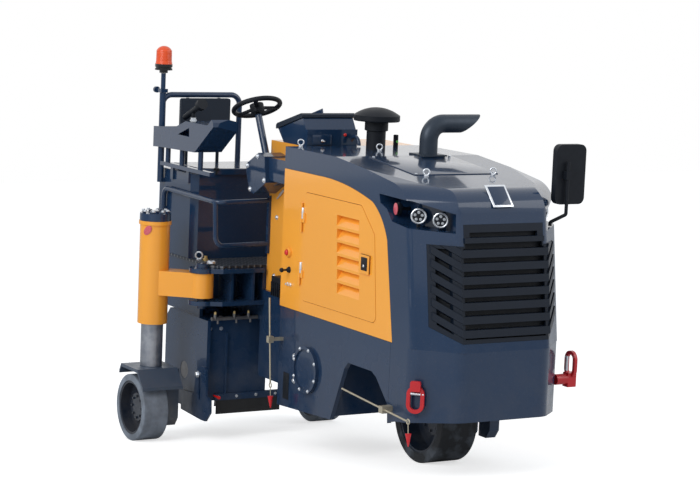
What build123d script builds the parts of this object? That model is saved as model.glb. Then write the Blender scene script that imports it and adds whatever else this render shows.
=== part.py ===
from build123d import *
import os
from math import cos, radians, sin, sqrt

os.makedirs("parts", exist_ok=True)

# Compact wheeled cold planer, millimetres. Everything is drawn in the body's own
# frame: X forward, Y to the left, Z square to the deck. The rear wheels stand on
# extended lifting columns, so the finished pieces are turned nose down by the
# stance angle, which brings all three wheels onto the ground at Z = 0.

# ---------------------------------------------------------------- driving sizes
nose_down = 5.5                 # stance angle with the rear columns extended
middle_x, middle_y = 1309.684, -236.0   # middle of the machine's length and width

centre_y = 33.0                 # middle plane of the hood and the front chassis
half_width = 538.0              # half the width of hood and front chassis
nose_x = 2885.0                 # flat front face at the deck
rake = 0.138                    # how far the hood's front leans back per unit of height
corner = 226.0                  # size of the bevelled front corners
hood_rear_x = 985.0             # rear wall of the hood, rear edge of the side panels
skirt_rear_x = 1000.0
deck_z = 1065.0                 # top of the chassis, bottom of the hood sides
plate = 25.0                    # thickness of sheet and plate walls
skirt_wall = 30.0

rear_radius, rear_width = 230.0, 185.0
front_radius, front_width = 290.0, 265.0
front_axle_x = 2062.0
front_wheel_y = 75.0

right_side = -735.0             # outer face of the drum housing and platform
drum_front_x, drum_rear_x = 362.0, -262.0
drum_left_y = -255.0
drum_x, drum_z, drum_tip_radius = 50.0, 470.0, 272.0

column_x, column_y = 118.0, -1025.0      # lifting column of the right rear wheel
pin_x, pin_y = 366.0, -776.0             # hinge pin of its swing arm
column_radius, leg_radius = 103.0, 76.0
left_column_x, left_column_y = -110.0, 400.0
wheel_offset = 55.0                      # wheel centre outboard of its column

floor_z = 1255.0                # walking surface of the platform
seat_front_x = 90.0
running = 0.06                  # radial play of pins and spindles

tilt = radians(nose_down)
stance = Location((-middle_x, -middle_y, 0), (0, nose_down, 0))


def axle_height(x, radius):
    """Height in the body's frame of a wheel centre that stands on the ground."""
    return (radius + x * sin(tilt)) / cos(tilt)


front_axle_z = axle_height(front_axle_x, front_radius)


def block(x_range, y_range, z_range, mode=Mode.ADD):
    """Box given by its limits along X, Y and Z."""
    limits = (x_range, y_range, z_range)
    with Locations(tuple(sum(pair) / 2 for pair in limits)):
        Box(*[pair[1] - pair[0] for pair in limits], mode=mode)


def across(side, distance):
    """Y at a distance from the hood's middle plane, to its right (-1) or left (1)."""
    return centre_y + side * distance


def keep(piece, name):
    """Stand a finished piece as parked, label it and write it."""
    piece.part.label = name
    piece.part.location = stance
    export_step(piece.part, f"parts/{name}.step")


def wheel_plane(x, y, z):
    """Plane across an axle: local Z points to the machine's left."""
    return Plane(origin=(x, y, z), x_dir=(1, 0, 0), z_dir=(0, 1, 0))


def dome(edge, axis_x, top):
    """Half profile of a round cap, from its edge up to its top on the axis."""
    reach, rise = edge.X - axis_x, top - edge.Y
    radius = (reach ** 2 + rise ** 2) / (2 * rise)
    middle = (axis_x + reach / 2, top - radius + sqrt(radius ** 2 - reach ** 2 / 4))
    return ThreePointArc(edge, middle, (axis_x, top))


def nose_line(inset, reach):
    """Plan of the nose at deck height, drawn in by an inset, from right to left:
    bevel, flat front, bevel. Reach is how far the ends lie from the middle plane."""
    fold = half_width - corner - inset * (sqrt(2) - 1)
    front = nose_x - inset
    tail = front + fold - reach
    return [(tail, across(-1, reach)), (front, across(-1, fold)), (front, across(1, fold)),
            (tail, across(1, reach))]


# ---------------------------------------------------------------- front chassis
# Welded chassis: two skirts with the wheel arches, cross walls, the deck plate,
# the housing of the steering kingpin and the valve box beside the front wheel.
skirt_front_x = 2416.0
arch = [(1713, 438), (1870, 800), (1913, 846), (2205, 846), (2260, 820), (2405, 680)]
skirt = [(skirt_rear_x, deck_z), (skirt_rear_x, 396)] + arch + [
    (skirt_front_x, 560), (skirt_front_x, deck_z)]
kingpin_radius = 45.0
valve_box = [(2080, deck_z - 20), (2080, 345), (2165, 345), (2205, 400), (2205, deck_z - 20)]

with BuildPart() as chassis:
    for side in (-1, 1):
        with BuildSketch(Plane.XZ.offset(-across(side, half_width))):
            with BuildLine():
                Polyline(*skirt, close=True)
            make_face()
        extrude(amount=side * skirt_wall)
    wall = 2 * (half_width - 1)
    with BuildSketch(Plane.XY.offset(deck_z - skirt_wall)):
        with Locations(((skirt_rear_x + skirt_front_x) / 2, centre_y)):
            Rectangle(skirt_front_x - skirt_rear_x, wall)
    extrude(amount=skirt_wall)
    # cross wall: x of its rear face, lowest z
    for wall_x, wall_bottom in ((skirt_rear_x, 396), (1690, 460)):
        with BuildSketch(Plane.YZ.offset(wall_x)):
            with Locations((centre_y, (wall_bottom + deck_z) / 2)):
                Rectangle(wall, deck_z - wall_bottom)
        extrude(amount=skirt_wall)
    with BuildSketch(Plane.XY.offset(870)):
        with Locations((front_axle_x, front_wheel_y)):
            Circle(85)
    extrude(amount=deck_z - 10 - 870)
    with BuildSketch(Plane.XY.offset(860)):
        with Locations((front_axle_x, front_wheel_y)):
            Circle(kingpin_radius + running)
    extrude(amount=170, mode=Mode.SUBTRACT)
    with BuildSketch(Plane.XZ.offset(-402)):
        with BuildLine():
            Polyline(*valve_box, close=True)
        make_face()
    extrude(amount=-73)
    # bolted round cover of the right skirt, with its raised rim
    with BuildSketch(Plane.XZ.offset(-across(-1, half_width))):
        with Locations((1391, 703)):
            Circle(155)
    extrude(amount=12)
    with BuildSketch(Plane.XZ.offset(-across(-1, half_width + 12))):
        with Locations((1391, 703)):
            Circle(155)
            Circle(135, mode=Mode.SUBTRACT)
    extrude(amount=12)
keep(chassis, "chassis")

# ---------------------------------------------------------------- front bumper
# Heavy plate wrapped round the nose, its bevels rounded, with a raked lower edge.
bumper_rear_x = 2418.0
bumper_wall = 40.0
with BuildPart() as front_bumper:
    for inset, top, mode in ((0, deck_z, Mode.ADD), (bumper_wall, deck_z - skirt_wall,
                                                     Mode.SUBTRACT)):
        nose = nose_line(inset, half_width - inset)
        rear = bumper_rear_x if inset == 0 else bumper_rear_x - 5
        with BuildSketch(Plane.XY.offset(500)) as plan:
            with BuildLine():
                Polyline((rear, nose[0][1]), *nose, (rear, nose[3][1]), close=True)
            make_face()
            fillet(plan.vertices().group_by(Axis.X)[1:], radius=120 - inset)
        extrude(amount=top - 500, mode=mode)
    with BuildSketch(Plane.XZ.offset(-across(1, half_width + 10))):
        with BuildLine():
            Polyline((2400, 480), (2400, 560), (2480, 585), (2700, 618), (2900, 640),
                     (2900, 480), close=True)
        make_face()
    extrude(amount=2 * half_width + 20, mode=Mode.SUBTRACT)
keep(front_bumper, "front_bumper")

# ---------------------------------------------------------------- hood
# Sheet hood with a level top that falls toward the nose and rolls down into a raked
# front; the two front corners are bevelled and roll over in the same way.
lean = Vector(-rake, 0, 1)
hood_top, fall_from_x, fall = 2128.0, 1651.0, 0.1
roll_radius = 170.0
roll_lead = 0.4                          # how far the roll's tangent stands off the front
bevel_top, bevel_rise = 2020.0, 0.2      # top edge of the bevels, slope of the roof there
turn = sqrt(0.5)


def plan_form(inset):
    """Leaning prism on the hood's plan, drawn in by an inset."""
    nose = nose_line(inset, half_width - inset)
    with BuildPart() as form:
        with BuildSketch(Plane.XY.offset(deck_z)) as plan:
            with BuildLine():
                Polyline((600, nose[0][1]), *nose, (600, nose[3][1]), close=True)
            make_face()
            if inset < 50:
                fillet(plan.vertices().group_by(Axis.X)[1:], radius=60 - inset)
        extrude(amount=1300 * lean.length, dir=lean.normalized())
        if inset:
            extrude(plan.sketch, amount=20 * lean.length, dir=-lean.normalized())
    return form.part


def hood_form(inset):
    """Outer form of the hood, drawn in by a wall thickness."""
    top = hood_top - inset
    front = nose_x - inset + roll_lead
    vertex_z = (top - fall * (front + rake * deck_z - fall_from_x)) / (1 - fall * rake)
    vertex_x = front - rake * (vertex_z - deck_z)
    foot = deck_z - 5 if inset else deck_z
    with BuildPart() as form:
        add(plan_form(inset))
        with BuildSketch(Plane.XZ.offset(-across(1, half_width + 10))) as profile:
            with BuildLine():
                Polyline((hood_rear_x + inset, foot), (hood_rear_x + inset, top),
                         (fall_from_x, top), (vertex_x, vertex_z),
                         (front - rake * (foot - deck_z), foot), close=True)
            make_face()
            fillet(profile.vertices().sort_by_distance((vertex_x, vertex_z, 0))[0],
                   radius=roll_radius - inset)
        extrude(amount=2 * half_width + 20, mode=Mode.INTERSECT)
        # the roll over each bevel, drawn square to it
        bevel_foot = (nose_x + half_width - corner) * turn - inset + roll_lead
        bevel_vertex_z = bevel_top - inset
        bevel_vertex = bevel_foot - rake * turn * (bevel_vertex_z - deck_z)
        for side in (-1, 1):
            outward = Vector(turn, side * turn, 0)
            upright = Plane(origin=(0, centre_y, 0), x_dir=outward,
                            z_dir=outward.cross(Vector(0, 0, 1)))
            with BuildSketch(upright) as square:
                with BuildLine():
                    Polyline((0, foot - 10), (0, bevel_vertex_z + bevel_rise * bevel_vertex),
                             (bevel_vertex, bevel_vertex_z),
                             (bevel_foot + rake * turn * 10, foot - 10), close=True)
                make_face()
                fillet(square.vertices().sort_by_distance((bevel_vertex, bevel_vertex_z, 0))[0],
                       radius=roll_radius - inset)
            extrude(amount=3000, both=True, mode=Mode.INTERSECT)
    return form.part


panel_top_z = 1985.0
lamp_recess = [(2205, 1957), (2548, 1950), (2755, 1890), (2767, 1775), (2572, 1785),
               (2369, 1804), (2304, 1873), (2222, 1902)]
recess_depth, recess_lip = 140.0, 14.0
recess_end = 296.0              # how near the recess comes to the middle plane


def panel_line(rear):
    """Upper and front edge of the side panel, from a place at its rear."""
    with BuildLine() as line:
        Line((rear, panel_top_z), (1503, panel_top_z))
        ThreePointArc((1503, panel_top_z), (1810, 1963), (2127, 1898))
        ThreePointArc((2127, 1898), (2240, 1812), (2322, 1680))
        Line((2322, 1680), (2432, deck_z))
    return line.line


def grille_band(front, rear):
    """Leaning band that runs round the nose between two depths behind its face."""
    with BuildPart() as band:
        with BuildSketch(Plane.XY.offset(deck_z)):
            with BuildLine():
                Polyline(*nose_line(front, 500), *reversed(nose_line(rear, 500)), close=True)
            make_face()
        extrude(amount=900 * lean.length, dir=lean.normalized())
    return band.part


# Front view of the grille: distance from the middle plane and height. Its lower edge
# climbs on the bevels, and its middle part runs up into the roll of the hood.
grille_fold = half_width - corner
grille_end, neck_end = 460.0, 289.0
grille_low, grille_end_low = 1120.0, 1207.0
grille_shoulder, grille_high = 1700.0, 1829.0
grille_half_view = [(grille_fold, grille_low), (grille_end, grille_end_low),
                    (grille_end, grille_shoulder), (neck_end, grille_shoulder),
                    (neck_end, grille_high)]


def front_view(half_view, spare=0.0):
    """Symmetric front view of a half outline, as a prism through the nose."""
    with BuildPart() as prism:
        with BuildSketch(Plane.YZ.offset(2300)):
            with BuildLine():
                Polyline(*[(across(1, y), z) for y, z in half_view],
                         *[(across(-1, y), z) for y, z in reversed(half_view)], close=True)
            make_face()
            if spare:
                offset(amount=spare, kind=Kind.INTERSECTION)
        extrude(amount=700)
    return prism.part


with BuildPart() as hood:
    add(hood_form(0))
    add(hood_form(plate), mode=Mode.SUBTRACT)
    # walls and space of the lamp recess at each front corner
    for side in (-1, 1):
        for lip, deep, end, mode in (
                (recess_lip, recess_depth + recess_lip, recess_end - recess_lip, Mode.ADD),
                (0, recess_depth, recess_end, Mode.SUBTRACT)):
            with BuildPart(mode=Mode.PRIVATE) as recess:
                with BuildSketch(Plane.XZ.offset(-across(side, end))):
                    with BuildLine():
                        Polyline(*lamp_recess, close=True)
                    make_face()
                    if lip:
                        offset(amount=lip, kind=Kind.INTERSECTION)
                extrude(amount=-side * (half_width + 10 - end))
                add(plan_form(deep), mode=Mode.SUBTRACT)
                if lip:
                    add(hood_form(0), mode=Mode.INTERSECT)
            add(recess.part, mode=mode)
    # room for the side panels
    for side in (-1, 1):
        with BuildSketch(Plane.XZ.offset(-across(side, half_width + 5))):
            with BuildLine():
                add(panel_line(900))
                Polyline((2432, deck_z), (2432.9, deck_z - 5), (900, deck_z - 5),
                         (900, panel_top_z))
            make_face()
        extrude(amount=side * (plate + 5.5), mode=Mode.SUBTRACT)
    # opening behind the grille
    with BuildPart(mode=Mode.PRIVATE) as mouth:
        add(front_view(grille_half_view, 1.0))
        add(grille_band(-12, 70), mode=Mode.INTERSECT)
    add(mouth.part, mode=Mode.SUBTRACT)
keep(hood, "hood")


# ---------------------------------------------------------------- side panels
# Flat painted panels of the engine bay with the doorways, one on each side.
door_edge = [(1268, 1860), (2001, 1860), (2174, 1697), (2234, 1148), (1268, 1145)]
door_round = 45.0
hinge_x, hinge_out = 1254.0, 10.0       # hinge axis: place and distance off the panel
hinge_spans = [(1594, 1784), (1244, 1394)]     # lowest and highest z of each hinge
door_gap = 3.0
with BuildPart() as side_panels:
    for side in (-1, 1):
        face_y = across(side, half_width)
        with BuildSketch(Plane.XZ.offset(-face_y)):
            with BuildLine():
                add(panel_line(hood_rear_x))
                Polyline((2432, deck_z), (hood_rear_x, deck_z), (hood_rear_x, panel_top_z))
            make_face()
            offset(amount=-2, kind=Kind.INTERSECTION, mode=Mode.REPLACE)
            with BuildSketch(mode=Mode.PRIVATE) as doorway:
                with BuildLine():
                    Polyline(*door_edge, close=True)
                make_face()
                fillet(doorway.vertices(), radius=door_round)
            add(doorway.sketch, mode=Mode.SUBTRACT)
        extrude(amount=side * plate)
        for low, high in hinge_spans:
            third = (high - low) / 3
            for z in (low, high - third + 1):
                with Locations((hinge_x, across(side, half_width + hinge_out), z + third / 2)):
                    Cylinder(9, third - 1)
            block((1215, hinge_x - 10), sorted((face_y, across(side, half_width + 5))),
                  (low, high))
            for z in (low, high - third + 1):
                block((hinge_x - 12, hinge_x),
                      sorted((across(side, half_width + 1), across(side, half_width + hinge_out))),
                      (z, z + third - 1))
keep(side_panels, "side_panels")

# ---------------------------------------------------------------- engine bay doors
# Each door is a plate in its doorway with six louvres, a paddle latch and the middle
# knuckles of its two hinges. A louvre is a flap let into the door, hinged at its foot.
louvre_z = [1262, 1348, 1434, 1520, 1606, 1692]     # lowest z of each louvre
louvre_high, louvre_wide, louvre_deep = 70.0, 278.0, 45.0
for side, name in ((-1, "door_right"), (1, "door_left")):
    with BuildPart() as door:
        with BuildSketch(Plane.XZ.offset(-across(side, half_width + 2))):
            with BuildLine():
                Polyline(*door_edge, close=True)
            face = make_face()
            fillet(face.vertices(), radius=door_round)
            offset(amount=-door_gap, kind=Kind.INTERSECTION, mode=Mode.REPLACE)
        extrude(amount=side * 20)
        for z in louvre_z:
            shift = (1774 - z) * 0.085
            # pocket behind the flap, then the opening: wall, spare depth at the face
            for wall, skin, mode in ((6, 15, Mode.ADD), (0, -1, Mode.SUBTRACT)):
                with BuildSketch(Plane.YZ.offset(1695 + shift - wall)):
                    with BuildLine():
                        outer = half_width + 2 - skin
                        Polyline((across(side, outer), z - wall),
                                 (across(side, half_width + 2 - louvre_deep - wall),
                                  z + louvre_high - 4),
                                 (across(side, half_width + 2 - louvre_deep - wall),
                                  z + louvre_high + wall),
                                 (across(side, outer), z + louvre_high + wall), close=True)
                    make_face()
                extrude(amount=louvre_wide + 2 * wall, mode=mode)
        block((2020, 2140), sorted((across(side, half_width + 2), across(side, half_width + 16))),
              (1440, 1558))
        for low, high in hinge_spans:
            third = (high - low) / 3
            with Locations((hinge_x, across(side, half_width + hinge_out), (low + high) / 2)):
                Cylinder(9, third - 1)
            block((hinge_x, hinge_x + 40),
                  sorted((across(side, half_width + 2), across(side, half_width + hinge_out))),
                  (low + third + 0.5, high - third - 0.5))
    keep(door, name)

# ---------------------------------------------------------------- engine
# The diesel engine and its pumps, as one plain block on the chassis.
with BuildPart() as engine_block:
    block((1180, 2330), (across(-1, 330), across(1, 330)), (deck_z, 1880))
keep(engine_block, "engine_block")

# ---------------------------------------------------------------- grille
# Frame plate let into the nose, seven bars that climb on the bevels, a straight bar
# above them, and the black mesh behind.
bar_high, bar_end, bar_climb = 46.0, 449.0, 0.70
bar_z = [1657, 1577, 1498, 1422, 1343, 1262, 1180]     # middle of each bar
bar_rise = bar_climb * (bar_end - grille_fold)
with BuildPart() as grille:
    add(grille_band(0, plate))
    add(front_view(grille_half_view), mode=Mode.INTERSECT)
    # openings of the frame: half outlines of the slot, the main mouth
    add(front_view([(247, 1752), (247, 1782)]), mode=Mode.SUBTRACT)
    add(front_view([(293, 1145), (293, 1690), (280, 1690), (280, 1720)]), mode=Mode.SUBTRACT)
    with BuildSketch(Plane.YZ.offset(2300)):
        for side in (-1, 1):
            with BuildLine():
                Polyline((across(side, 351), 1172), (across(side, 425), 1224),
                         (across(side, 425), 1680), (across(side, 351), 1680), close=True)
            make_face()
    extrude(amount=700, mode=Mode.SUBTRACT)
    with BuildPart(mode=Mode.PRIVATE) as bars:
        for z in bar_z:
            low, high = z - bar_high / 2, z + bar_high / 2
            add(front_view([(grille_fold, low), (bar_end, low + bar_rise),
                            (bar_end, high + bar_rise), (grille_fold, high)]))
        block((2300, 3000), (across(-1, 500), across(1, 500)), (grille_shoulder, 1900),
              mode=Mode.SUBTRACT)
        add(front_view([(neck_end, 1720), (neck_end, 1752)]))
        add(grille_band(-14, 30), mode=Mode.INTERSECT)
    add(bars.part)
keep(grille, "grille")


with BuildPart() as grille_mesh:
    add(grille_band(34, 39))
    add(front_view(grille_half_view), mode=Mode.INTERSECT)
keep(grille_mesh, "grille_mesh")

# ---------------------------------------------------------------- headlamps
# Two round work lamps on stands in each recess, and the reflector at its rear end.
with BuildPart() as headlamps:
    for side in (-1, 1):
        # x, distance from the middle plane and z of the face's middle, foot of the stand
        for x, out, z, stand_z in ((2550, 463, 1858, 1790), (2650, 368, 1843, 1785)):
            heading = Vector(cos(radians(35)), side * sin(radians(35)), 0)
            with BuildSketch(Plane(origin=(x, across(side, out), z), z_dir=heading)):
                Circle(48)
            extrude(amount=-34)
            foot = Vector(x, across(side, out), 0) - heading * 17
            block((foot.X - 9, foot.X + 9), (foot.Y - 9, foot.Y + 9), (stand_z, z - 20))
        with BuildSketch(Plane.XZ.offset(-across(side, 489))):
            with Locations((2351, 1879)):
                Ellipse(27, 42)
        extrude(amount=side * 14)
        block((2342, 2360), sorted((across(side, 480), across(side, 402))), (1870, 1888))
keep(headlamps, "headlamps")

# ---------------------------------------------------------------- hood fittings
# Air intake with its rain cap, and the bent exhaust on its base plate.
intake_x = 1240.0
with BuildPart() as intake:
    with BuildSketch(Plane.XZ.offset(-centre_y)):
        with BuildLine():
            # radius and height up the side of the neck and the cap
            side_line = Polyline(*[(intake_x + r, z) for r, z in (
                (0, hood_top), (64, hood_top), (64, 2250), (78, 2256), (78, 2312),
                (150, 2318), (154, 2324), (154, 2356))])
            dome(side_line @ 1, intake_x, 2408)
            Line((intake_x, 2408), (intake_x, hood_top))
        make_face()
    revolve(axis=Axis((intake_x, centre_y, 0), (0, 0, 1)))
keep(intake, "intake")

exhaust_x, exhaust_y, exhaust_z = 1640.0, 193.0, 2335.0
exhaust_radius = 60.0
with BuildPart() as exhaust:
    with BuildLine() as route:
        FilletPolyline((exhaust_x, exhaust_y, hood_top), (exhaust_x, exhaust_y, exhaust_z),
                       (exhaust_x, exhaust_y + 395, exhaust_z), radius=105)
    with BuildSketch(Plane.XY.offset(hood_top)):
        with Locations((exhaust_x, exhaust_y)):
            Circle(exhaust_radius)
            Circle(exhaust_radius - 6, mode=Mode.SUBTRACT)
    sweep()
    # slanted mouth, open below
    with BuildSketch(Plane.YZ.offset(exhaust_x - 80)):
        with BuildLine():
            Polyline((exhaust_y + 208, 2255), (exhaust_y + 406, 2415), (exhaust_y + 430, 2415),
                     (exhaust_y + 430, 2255), close=True)
        make_face()
    extrude(amount=160, mode=Mode.SUBTRACT)
    block((exhaust_x - 90, exhaust_x + 90), (exhaust_y - 90, exhaust_y + 90),
          (hood_top, hood_top + 10))
    with Locations((exhaust_x, exhaust_y, hood_top)):
        Cylinder(exhaust_radius - 6, 60, mode=Mode.SUBTRACT)
keep(exhaust, "exhaust")

# ---------------------------------------------------------------- mirror
# Rounded driving mirror on an arm that stands in the left lamp recess.
with BuildPart() as mirror:
    with BuildLine() as route:
        FilletPolyline((2640, 478, 1787), (2640, 478, 1810), (2688, 560, 1862),
                       (2688, 560, 2190), radius=14)
    with BuildSketch(Plane(origin=route.line @ 0, z_dir=route.line % 0)):
        Circle(11)
    sweep()
    with BuildSketch(Plane.YZ.offset(2622)):
        with Locations((596, 2109)):
            RectangleRounded(220, 373, 42)
    extrude(amount=46)
    block((2662, 2702), (540, 580), (2080, 2130))
keep(mirror, "mirror")

# ---------------------------------------------------------------- tow rings
# Two red rings for recovery and lashing: one hangs on the right bevel of the bumper,
# the other stands on a boss at its left side.
with BuildPart() as tow_rings:
    # ring: x, y, z of its middle, azimuth of its face
    for x, y, z, azimuth in ((2708, -491.5, 765, -45), (2650, 690, 905, 90)):
        heading = (cos(radians(azimuth)), sin(radians(azimuth)), 0)
        with BuildSketch(Plane(origin=(x, y, z), x_dir=(0, 0, 1), z_dir=heading)):
            RectangleRounded(170, 110, 54)
            RectangleRounded(124, 64, 31, mode=Mode.SUBTRACT)
        extrude(amount=11, both=True)
    with BuildSketch(Plane(origin=(2708, -491.5, 848), z_dir=(cos(radians(-45)),
                                                            sin(radians(-45)), 0))):
        RectangleRounded(64, 64, 12)
    extrude(amount=24)
    with BuildSketch(Plane(origin=(2708, -491.5, 848), z_dir=(cos(radians(-45)),
                                                            sin(radians(-45)), 0))):
        Circle(22)
    extrude(amount=-19)
    with BuildSketch(wheel_plane(2650, across(1, half_width) + 1, 812)):
        Circle(34)
    extrude(amount=85)
    block((2622, 2678), (654, 718), (762, 852))
keep(tow_rings, "tow_rings")

# ---------------------------------------------------------------- rear cowl
# Housing of the tanks behind the hood; its right side is the wall of the footwell.
cowl_rear_x, cowl_right, cowl_left = 460.0, -330.0, 545.0
cowl_foot, cowl_top = 1085.0, 2120.0
with BuildPart() as rear_cowl:
    block((cowl_rear_x, hood_rear_x - 3), (cowl_right, cowl_left), (cowl_foot, cowl_top))
    block((cowl_rear_x + 20, hood_rear_x - 23), (cowl_right + 20, cowl_left - 20),
          (cowl_foot - 5, cowl_top - 20), mode=Mode.SUBTRACT)
keep(rear_cowl, "rear_cowl")

# Electrical box on the cowl, and its sloping lid hinged at the front.
box_right, box_left = -325.0, 60.0
with BuildPart() as control_box:
    with BuildSketch(Plane.XZ.offset(-box_right)):
        with BuildLine():
            Polyline((625, cowl_top), (540, 2206), (879, 2306), (926, 2234), (950, 2234),
                     (950, cowl_top), close=True)
        make_face()
    extrude(amount=box_right - box_left)
keep(control_box, "control_box")
with BuildPart() as control_lid:
    with BuildSketch(Plane.XZ.offset(-box_right + 12)):
        with BuildLine():
            Polyline((528, 2204), (890, 2311), (890, 2328), (872, 2338), (542, 2243),
                     (528, 2230), close=True)
        make_face()
    extrude(amount=box_right - box_left - 24)
keep(control_lid, "control_lid")

# ---------------------------------------------------------------- rear frame
# Welded rails and plates that carry the platform, the drum housing, the cowl and
# the left lifting column.
frame_top = 1240.0
frame_rear_x = -450.0
rail_z = 870.0
cross_x = cowl_rear_x - 26
with BuildPart() as rear_frame:
    block((frame_rear_x, 200), (-705, -680), (rail_z, frame_top - 25))
    block((frame_rear_x, cross_x + 5), (cowl_right - 25, cowl_right), (rail_z, frame_top - 25))
    block((cross_x, skirt_rear_x), (cowl_right - 25, cowl_right), (480, deck_z))
    block((frame_rear_x, cross_x + 5), (cowl_left - 25, cowl_left), (rail_z, frame_top - 25))
    block((cross_x, skirt_rear_x), (cowl_left - 25, cowl_left), (800, deck_z))
    block((frame_rear_x, frame_rear_x + 20), (-705, cowl_left), (rail_z, frame_top - 25))
    block((cross_x, cross_x + 20), (cowl_right - 25, cowl_left), (620, frame_top - 25))
    block((cross_x, hood_rear_x - 2), (cowl_right - 25, cowl_left), (deck_z - 5, cowl_foot))
    block((frame_rear_x, 200), (-705, cowl_left), (frame_top - 25, frame_top))
    block((200, cross_x + 20), (cowl_right - 25, cowl_left), (frame_top - 25, frame_top))
    with Locations((left_column_x, left_column_y, frame_top)):
        Cylinder(column_radius + 2, 200, mode=Mode.SUBTRACT)
keep(rear_frame, "rear_frame")

with BuildPart() as hydraulic_tank:
    with BuildSketch(Plane.XY.offset(480)):
        with Locations((-60, -25)):
            RectangleRounded(660, 410, 40)
    extrude(amount=frame_top - 25 - 480)
keep(hydraulic_tank, "hydraulic_tank")

# ---------------------------------------------------------------- hinge bracket
# Two scalloped plates with the hinge pin of the swing arm at their right end.
bracket_z = [(985, 1015), (1208, 1238)]
bracket_front = 492.0
lug_radius = 92.0
with BuildPart() as hinge_bracket:
    for low, high in bracket_z:
        with BuildSketch(Plane.XY.offset(low)):
            with BuildLine():
                Polyline((200, cowl_right - 26), (200, pin_y + 60),
                         (pin_x - lug_radius + 6, pin_y - 30), (pin_x + 40, pin_y - 80),
                         (bracket_front, pin_y + 95), (bracket_front, cowl_right - 26),
                         close=True)
            make_face()
            with Locations((pin_x, pin_y)):
                Circle(lug_radius)
            with Locations((column_x + 2 * (pin_x - column_x), -527)):
                Circle(column_radius + 14, mode=Mode.SUBTRACT)
        extrude(amount=high - low)
    block((200, 225), (-716, cowl_right - 26), (1015, 1208))
    block((250, 440), (-590, -572), (1015, 1208))
    block((250, bracket_front - 8), (-450, -432), (1015, 1208))
    with Locations((pin_x, pin_y, 1112)):
        Cylinder(32, 310)
    with Locations((pin_x, pin_y, 1252)):
        Cylinder(44, 28)
keep(hinge_bracket, "hinge_bracket")

# ---------------------------------------------------------------- swing arm
# Yellow column tube with its arm; it turns on the hinge pin.
column_low, column_high = 830.0, 1540.0
arm_z = (1034, 1204)
pin, column = Vector(pin_x, pin_y), Vector(column_x, column_y)
along = (column - pin).normalized()
sideways = Vector(-along.Y, along.X)
with BuildPart() as swing_arm:
    with BuildSketch(Plane.XY.offset(column_low)):
        with Locations((column_x, column_y)):
            Circle(column_radius)
    extrude(amount=column_high - column_low)
    with BuildSketch(Plane.XY.offset(column_high - 26)):
        with Locations((column_x, column_y)):
            Circle(column_radius + 9)
    extrude(amount=26)
    # arm: half width 62 at the pin, 84 at the column
    with BuildSketch(Plane.XY.offset(arm_z[0])):
        with BuildLine():
            Polyline(pin + sideways * 62, pin - sideways * 62,
                     column - sideways * 84, column + sideways * 84, close=True)
        make_face()
        with Locations((pin_x, pin_y)):
            Circle(78)
    extrude(amount=arm_z[1] - arm_z[0])
    with BuildSketch(Plane.XY.offset(column_low - 5)):
        with Locations((column_x, column_y)):
            Circle(leg_radius + running)
    extrude(amount=column_high - 30 - column_low + 5, mode=Mode.SUBTRACT)
    with BuildSketch(Plane.XY.offset(1000)):
        with Locations((pin_x, pin_y)):
            Circle(32 + running)
    extrude(amount=230, mode=Mode.SUBTRACT)
keep(swing_arm, "swing_arm")

with BuildPart() as column_cap:
    with BuildSketch(Plane.XY.offset(column_high)):
        with Locations((column_x, column_y)):
            Circle(column_radius + 4)
    extrude(amount=52)
    with BuildSketch(Plane.XY.offset(column_high + 52)):
        with Locations((column_x, column_y)):
            with PolarLocations(84, 8):
                RegularPolygon(13, 6)
            Circle(34)
    extrude(amount=14)
keep(column_cap, "column_cap")


# ---------------------------------------------------------------- lifting legs
# Each leg slides in its column and carries the fender and the axle plate.
leg_foot, leg_top = 530.0, 1240.0
fender_plate = 22.0
# fender: x from the axle and z along its upper side
fender_line = [(-159, 480), (-130, 530), (132, 530), (232, 420)]


def leg(x, y, outward):
    """Leg, bent fender, axle plate and spindle; outward is the wheel's side."""
    wheel_y = y + outward * wheel_offset
    inner_face = wheel_y - outward * rear_width / 2
    with BuildPart() as piece:
        with Locations((x, y, (leg_foot + leg_top) / 2 - 5)):
            Cylinder(leg_radius, leg_top - leg_foot + 10)
        under = [(place, z - fender_plate) for place, z in reversed(fender_line)]
        span_y = sorted((inner_face - outward * 100, wheel_y + outward * 110))
        with BuildSketch(Plane.XZ.offset(-span_y[0])):
            with BuildLine():
                Polyline(*[(x + place, z) for place, z in fender_line + under], close=True)
            make_face()
        extrude(amount=span_y[0] - span_y[1])
        plate_y = sorted((inner_face - outward * 8, inner_face - outward * 122))
        with BuildSketch(Plane.XZ.offset(-plate_y[0])):
            with BuildLine():
                Polyline((x - 125, 520), (x + 125, 520), (x + 125, 175), (x + 80, 115),
                         (x - 80, 115), (x - 125, 175), close=True)
            make_face()
        extrude(amount=plate_y[0] - plate_y[1])
        with BuildSketch(wheel_plane(x, inner_face - outward * 10,
                                     axle_height(x, rear_radius))):
            Circle(40)
        extrude(amount=outward * 120)
    return piece


def tyre(x, y, z, radius, width, rim_radius):
    """Solid rubber ring with rounded shoulders."""
    with BuildPart() as piece:
        with BuildSketch(wheel_plane(x, y - width / 2, z)):
            Circle(radius)
            Circle(rim_radius, mode=Mode.SUBTRACT)
        extrude(amount=width)
        fillet(piece.edges().filter_by(GeomType.CIRCLE).sort_by(SortBy.RADIUS)[-2:], radius=9)
    return piece


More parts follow.
